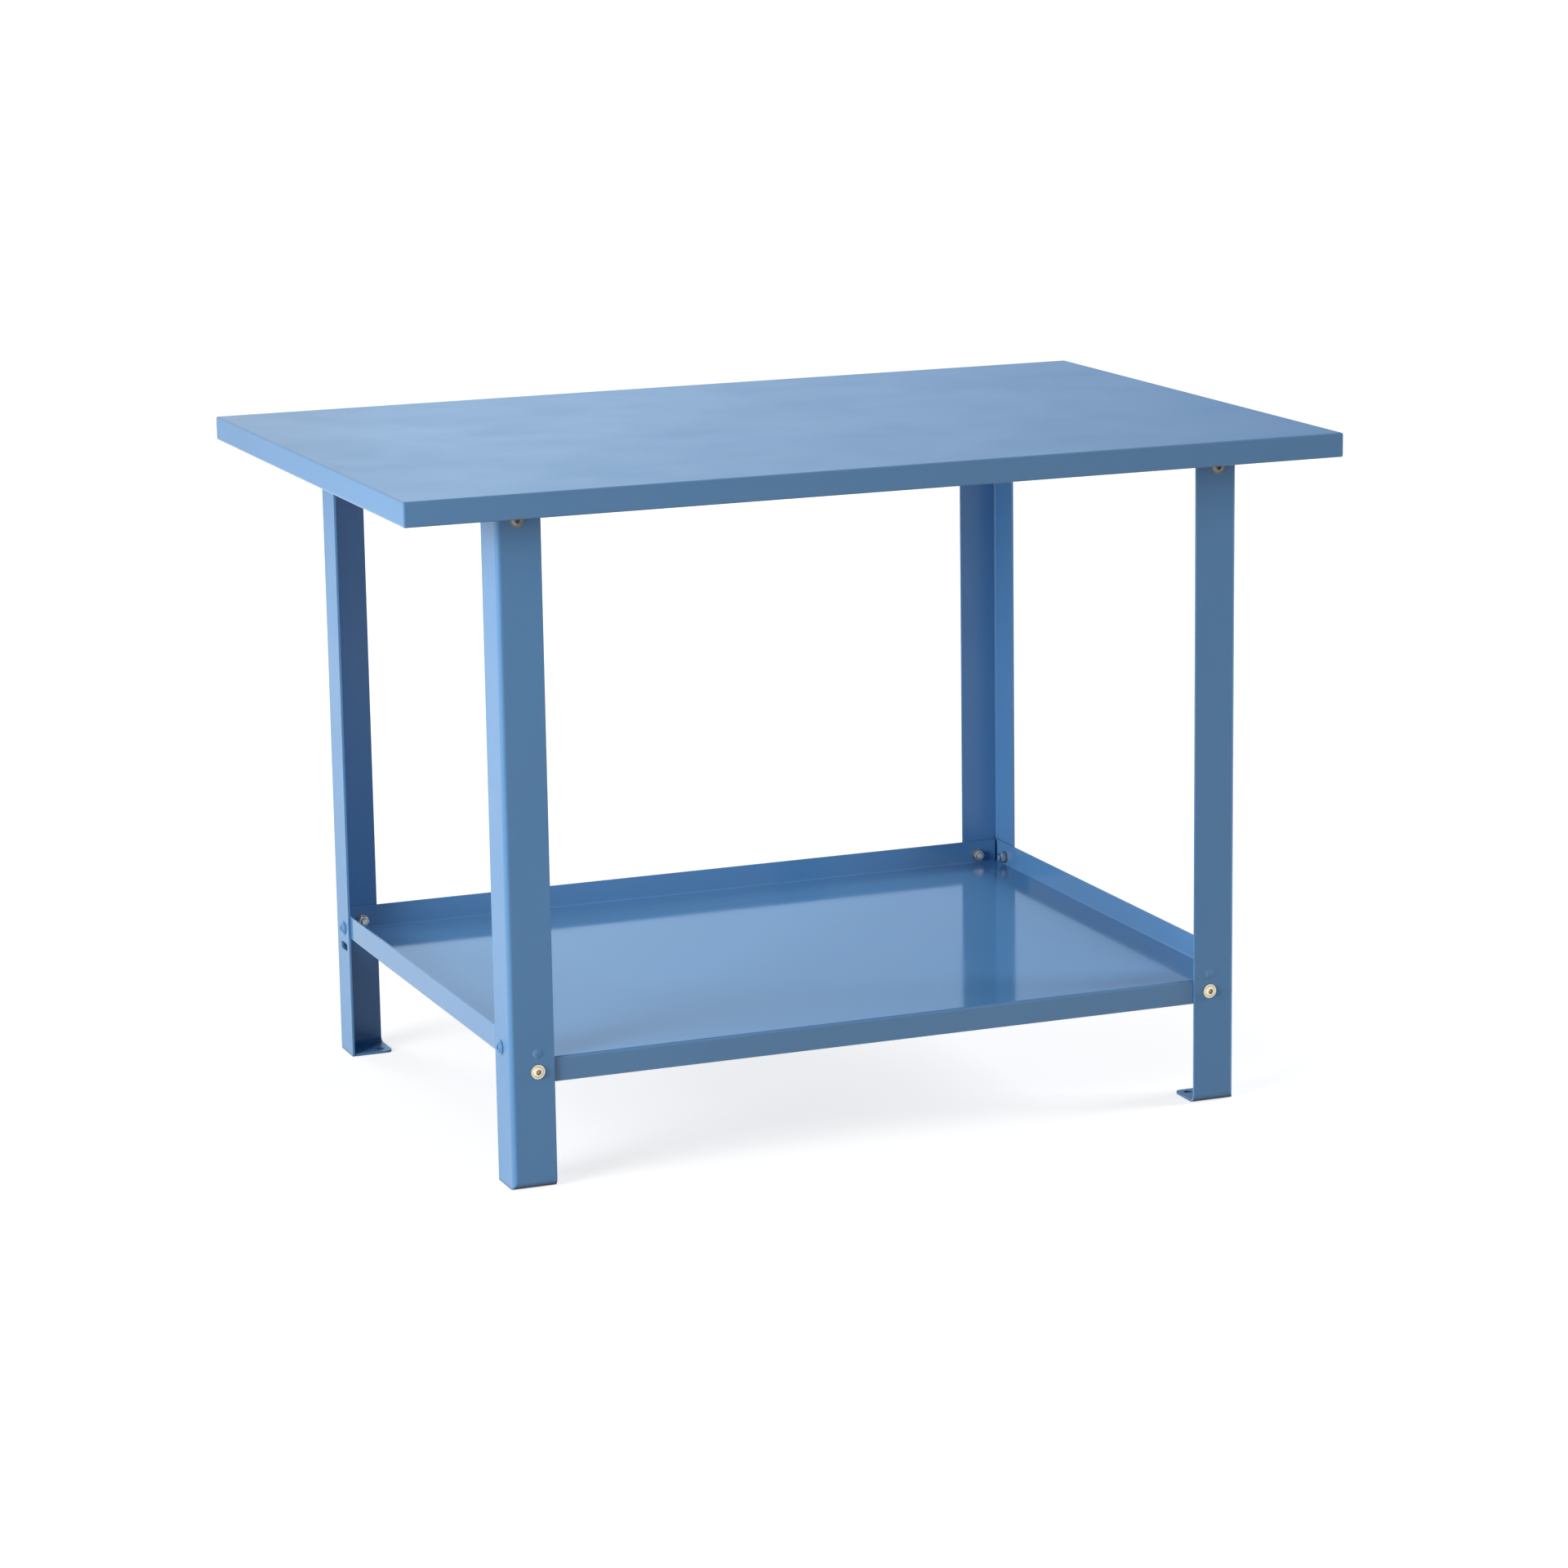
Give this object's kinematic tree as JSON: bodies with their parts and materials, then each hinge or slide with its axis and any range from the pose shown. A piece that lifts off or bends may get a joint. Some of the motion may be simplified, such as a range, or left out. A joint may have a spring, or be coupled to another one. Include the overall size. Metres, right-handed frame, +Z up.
{
  "type": "assembly table",
  "caption": "Steel assembly table: folded sheet worktop with an apron on four folded angle legs with foot plates, and a bolted steel tray shelf low between the legs.",
  "frame": {"origin": "on the floor, under the middle of the worktop", "axes": "+X along the table's length, to the right seen from the front; +Y from the front (the shelf's down-turned edge) to the rear; +Z up"},
  "size_m": [1.2, 0.8, 0.84],
  "materials": {
    "worktop_paint": "steel-blue gloss powder coat",
    "leg_paint": "steel-blue gloss powder coat",
    "shelf_paint": "steel-blue gloss powder coat",
    "frame_paint": "steel-blue gloss powder coat",
    "yellow_zinc": "yellow passivated zinc plate",
    "silver_zinc": "bright zinc plate"
  },
  "bodies": {
    "root": {"worktop": "worktop_paint", "worktop_stiffener_front": "frame_paint", "worktop_stiffener_middle": "frame_paint", "worktop_stiffener_rear": "frame_paint", "leg_front_left": "leg_paint", "leg_front_right": "leg_paint", "leg_rear_left": "leg_paint", "leg_rear_right": "leg_paint", "cross_rail_left": "frame_paint", "cross_rail_right": "frame_paint", "shelf": "shelf_paint", "shelf_stiffener": "frame_paint", "rail_end_screws": "yellow_zinc", "rail_end_washers": "silver_zinc", "rail_end_nuts": "silver_zinc", "rail_side_screws": "yellow_zinc", "rail_side_washers": "silver_zinc", "rail_side_nuts": "silver_zinc", "shelf_front_screws": "yellow_zinc", "shelf_front_washers": "silver_zinc", "shelf_front_nuts": "silver_zinc", "shelf_rear_screws": "yellow_zinc", "shelf_rear_washers": "silver_zinc", "shelf_rear_nuts": "silver_zinc", "shelf_side_screws": "frame_paint", "shelf_side_washers": "silver_zinc", "shelf_side_nuts": "silver_zinc", "worktop_studs": "silver_zinc", "worktop_stud_washers": "silver_zinc", "worktop_stud_nuts": "silver_zinc"}
  },
  "joints": []
}
